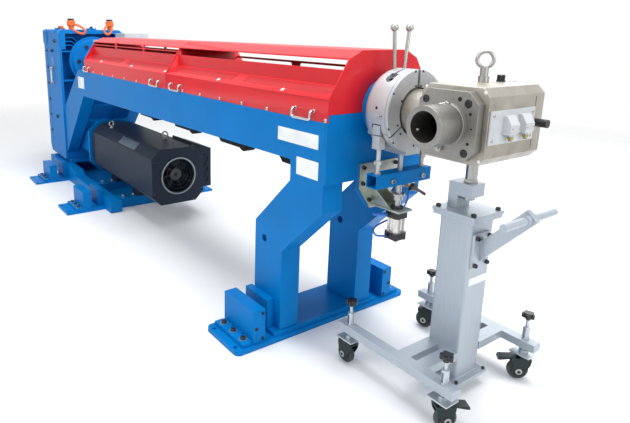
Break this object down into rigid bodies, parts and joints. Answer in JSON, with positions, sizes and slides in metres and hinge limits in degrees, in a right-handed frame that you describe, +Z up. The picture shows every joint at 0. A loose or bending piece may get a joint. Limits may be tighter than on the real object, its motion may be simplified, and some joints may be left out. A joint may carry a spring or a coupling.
{
  "type": "cable extrusion line",
  "caption": "Single-screw cable extruder on a welded stand with gearbox, motor, barrel hood and quick-clamp ring, and a cross-head carried on a castor trolley.",
  "frame": {"origin": "on the floor under the screw axis, at the middle of the front stand's base plate", "axes": "+X along the screw from the gearbox towards the cross-head, +Y away from the cable inlet, +Z up"},
  "size_m": [4.439, 1.16, 1.353],
  "materials": {
    "frame_blue": "semi-gloss blue machine enamel",
    "gearbox_blue": "semi-gloss blue enamel on cast iron",
    "lifting_orange": "orange powder coat",
    "motor_black": "satin black enamel",
    "fan_dark": "dark moulded fan",
    "bright_steel": "bright ground or chromed steel",
    "hood_red": "semi-gloss red powder coat on sheet steel",
    "feed_grey": "pale grey paint",
    "barrel_steel": "dull heater jackets",
    "blower_black": "black enamel",
    "clamp_steel": "ground steel",
    "zinc_plate": "passivated zinc plate",
    "cylinder_alu": "bright anodised profile",
    "valve_brass": "brass body",
    "hose_blue": "polyurethane air hose",
    "head_steel": "milled tool steel",
    "connector_grey": "cast grey hoods",
    "trolley_silver": "silver-grey paint",
    "castor_green": "dark green enamel",
    "castor_tyre": "dark rubber tread on a pale core"
  },
  "bodies": {
    "stand": {"front_base_plate": "frame_blue", "front_legs": "frame_blue", "front_panel": "frame_blue", "beam_sides": "frame_blue", "rear_legs": "frame_blue", "floor_anchors": "frame_blue", "rear_rails": "frame_blue", "rear_cross_members": "frame_blue", "gearbox_housing": "gearbox_blue", "gearbox_flange": "gearbox_blue", "gearbox_lifting_eyes": "lifting_orange", "coupling_housing": "frame_blue", "motor_flange": "frame_blue", "motor_body": "motor_black", "motor_air_ring": "bright_steel", "terminal_box": "motor_black", "eyebolts": "bright_steel", "hood_rear": "hood_red", "hood_front": "hood_red", "hood_handles": "bright_steel", "feed_throat": "feed_grey", "barrel": "barrel_steel", "cooling_blowers": "blower_black", "barrel_flange": "frame_blue", "clamp_base": "clamp_steel", "clamp_bracket": "zinc_plate", "air_cylinder": "cylinder_alu", "hand_valve": "valve_brass", "air_hoses": "hose_blue", "crosshead_body": "head_steel", "inlet_tube": "head_steel", "die_ring": "head_steel", "connectors": "connector_grey", "trolley_base": "trolley_silver", "trolley_column": "trolley_silver", "column_top_plate": "trolley_silver", "lift_block": "trolley_silver", "lift_shaft": "bright_steel", "push_handle": "trolley_silver", "jack_screws": "trolley_silver"},
    "motor_fan_body": {"motor_fan": "fan_dark"},
    "clamp_lift": {"lift_beam": "frame_blue", "link_rods": "bright_steel", "cylinder_rod": "bright_steel"},
    "jaw_near": {"clamp_jaw_near": "clamp_steel", "lever_near": "bright_steel"},
    "jaw_far": {"clamp_jaw_far": "clamp_steel", "lever_far": "bright_steel"},
    "castor_1": {"castor_fork_1": "castor_green"},
    "wheel_1": {"castor_wheel_1": "castor_tyre"},
    "castor_2": {"castor_fork_2": "castor_green"},
    "wheel_2": {"castor_wheel_2": "castor_tyre"},
    "castor_3": {"castor_fork_3": "castor_green"},
    "wheel_3": {"castor_wheel_3": "castor_tyre"},
    "castor_4": {"castor_fork_4": "castor_green"},
    "wheel_4": {"castor_wheel_4": "castor_tyre"}
  },
  "joints": [
    {"name": "fan_spin", "type": "hinge", "parent": "stand", "child": "motor_fan_body", "pos_m": [-1.439, 0, 0.338], "axis": [1, 0, 0], "continuous": true},
    {"name": "clamp_lift_slide", "type": "slide", "parent": "stand", "child": "clamp_lift", "axis": [0, 0, -1], "range_m": [0, 0.022]},
    {"name": "jaw_near_hinge", "type": "hinge", "parent": "stand", "child": "jaw_near", "pos_m": [0.454, -0.11238, 0.92702], "axis": [1, 0, 0], "range_deg": [0, 28.7]},
    {"name": "jaw_far_hinge", "type": "hinge", "parent": "stand", "child": "jaw_far", "pos_m": [0.454, 0.11238, 0.92702], "axis": [-1, 0, 0], "range_deg": [0, 28.7]},
    {"name": "castor_1_swivel", "type": "hinge", "parent": "stand", "child": "castor_1", "pos_m": [0.388, -0.1375, 0.1], "axis": [0, 0, 1], "continuous": true},
    {"name": "wheel_1_roll", "type": "hinge", "parent": "castor_1", "child": "wheel_1", "pos_m": [0.374, -0.1375, 0.0375], "axis": [0, -1, 0], "continuous": true},
    {"name": "castor_2_swivel", "type": "hinge", "parent": "stand", "child": "castor_2", "pos_m": [0.816, -0.1375, 0.1], "axis": [0, 0, 1], "continuous": true},
    {"name": "wheel_2_roll", "type": "hinge", "parent": "castor_2", "child": "wheel_2", "pos_m": [0.823, -0.12538, 0.0375], "axis": [-0.866, 0.5, 0], "continuous": true},
    {"name": "castor_3_swivel", "type": "hinge", "parent": "stand", "child": "castor_3", "pos_m": [0.388, 0.3415, 0.1], "axis": [0, 0, 1], "continuous": true},
    {"name": "wheel_3_roll", "type": "hinge", "parent": "castor_3", "child": "wheel_3", "pos_m": [0.37484, 0.33671, 0.0375], "axis": [0.342, -0.9397, 0], "continuous": true},
    {"name": "castor_4_swivel", "type": "hinge", "parent": "stand", "child": "castor_4", "pos_m": [0.816, 0.3415, 0.1], "axis": [0, 0, 1], "continuous": true},
    {"name": "wheel_4_roll", "type": "hinge", "parent": "castor_4", "child": "wheel_4", "pos_m": [0.8061, 0.3316, 0.0375], "axis": [0.7071, -0.7071, 0], "continuous": true}
  ],
  "couplings": [
    {"joint": "jaw_near_hinge", "follows": "clamp_lift_slide", "rad_per_m": 22.727},
    {"joint": "jaw_far_hinge", "follows": "clamp_lift_slide", "rad_per_m": 22.727}
  ]
}
